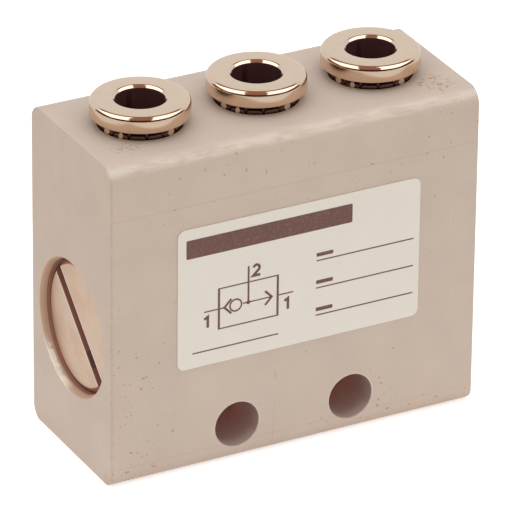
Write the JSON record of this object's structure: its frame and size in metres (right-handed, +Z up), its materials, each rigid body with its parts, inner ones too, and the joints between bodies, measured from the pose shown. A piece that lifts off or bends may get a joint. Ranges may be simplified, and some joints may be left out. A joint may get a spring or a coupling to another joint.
{
  "type": "shuttle valve",
  "caption": "Small pneumatic OR valve: drilled aluminium block with a slotted end plug, a sliding shuttle inside, push-in tube ports on top and plain cross holes for fixing screws.",
  "frame": {"origin": "middle of the block's base", "axes": "+X along the block and its main bore, away from the slotted end plug; +Y from the label face to the rear face; +Z up, out of the tube ports"},
  "size_m": [0.035, 0.0151, 0.0323],
  "materials": {
    "block_metal": "satin, warm grey",
    "plug_metal": "turned, nickel plated",
    "plated_metal": "bright nickel plate",
    "inner_brass": "turned",
    "spring_steel": "bright rolled",
    "acetal": "moulded",
    "nitrile": "moulded",
    "label_film": "satin film"
  },
  "bodies": {
    "valve_body": {"body_block": "block_metal", "end_plug": "plug_metal", "plug_o_ring": "nitrile", "spacer_sleeve": "inner_brass", "seat_bush": "inner_brass", "seat_bush_o_ring": "nitrile", "collar_1": "plated_metal", "collar_2": "plated_metal", "collar_3": "plated_metal", "gripping_claw_1": "spring_steel", "gripping_claw_2": "spring_steel", "gripping_claw_3": "spring_steel", "support_washer_1": "acetal", "support_washer_2": "acetal", "support_washer_3": "acetal", "tube_seal_1": "nitrile", "tube_seal_2": "nitrile", "tube_seal_3": "nitrile", "label": "label_film"},
    "shuttle": {"shuttle_core": "acetal", "shuttle_pad_left": "nitrile", "shuttle_pad_right": "nitrile"},
    "left_release_ring": {"release_ring_1": "plated_metal"},
    "middle_release_ring": {"release_ring_2": "plated_metal"},
    "right_release_ring": {"release_ring_3": "plated_metal"}
  },
  "joints": [
    {"name": "shuttle_slide", "type": "slide", "parent": "valve_body", "child": "shuttle", "axis": [1, 0, 0], "range_m": [-0.00105, 0.00105]},
    {"name": "left_ring_press", "type": "slide", "parent": "valve_body", "child": "left_release_ring", "axis": [0, 0, -1], "range_m": [-0.0003, 0.0002], "stiffness_N_per_m": 1000},
    {"name": "middle_ring_press", "type": "slide", "parent": "valve_body", "child": "middle_release_ring", "axis": [0, 0, -1], "range_m": [-0.0003, 0.0002], "stiffness_N_per_m": 1000},
    {"name": "right_ring_press", "type": "slide", "parent": "valve_body", "child": "right_release_ring", "axis": [0, 0, -1], "range_m": [-0.0003, 0.0002], "stiffness_N_per_m": 1000}
  ]
}
